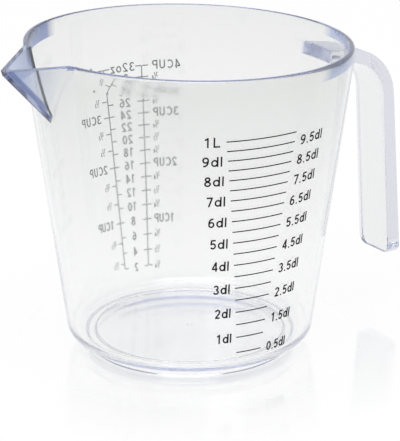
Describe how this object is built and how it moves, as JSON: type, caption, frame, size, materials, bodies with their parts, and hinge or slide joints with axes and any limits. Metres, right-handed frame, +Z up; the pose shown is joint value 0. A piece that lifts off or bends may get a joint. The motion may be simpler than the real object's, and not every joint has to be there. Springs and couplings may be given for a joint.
{
  "type": "measuring_jug",
  "caption": "Clear rigid plastic measuring jug with a V spout, an open strap handle, a litre scale in front and a cup and ounce scale behind.",
  "frame": {"origin": "axis of the jug at the table, z = 0", "axes": "+Z up along the jug's axis, +X towards the handle, -X towards the spout, -Y towards the litre scale"},
  "size_m": [0.1897, 0.1354, 0.1335],
  "materials": {
    "clear_plastic": "clear styrene plastic, polished, smooth all round",
    "black_ink": "near black pad print on the outside of the wall",
    "grey_ink": "grey pad print on the outside of the wall"
  },
  "bodies": {
    "root": {"vessel_wall": "clear_plastic", "base_corner": "clear_plastic", "floor_panel": "clear_plastic", "foot_ring": "clear_plastic", "rim_band": "clear_plastic", "pouring_spout": "clear_plastic", "handle_strap": "clear_plastic", "litre_lines": "black_ink", "decilitre_numbers": "black_ink", "half_decilitre_numbers": "black_ink", "quarter_cup_line": "grey_ink", "quarter_cup_labels": "grey_ink", "ounce_numbers": "grey_ink", "third_cup_line": "grey_ink", "third_cup_labels": "grey_ink"}
  },
  "joints": []
}
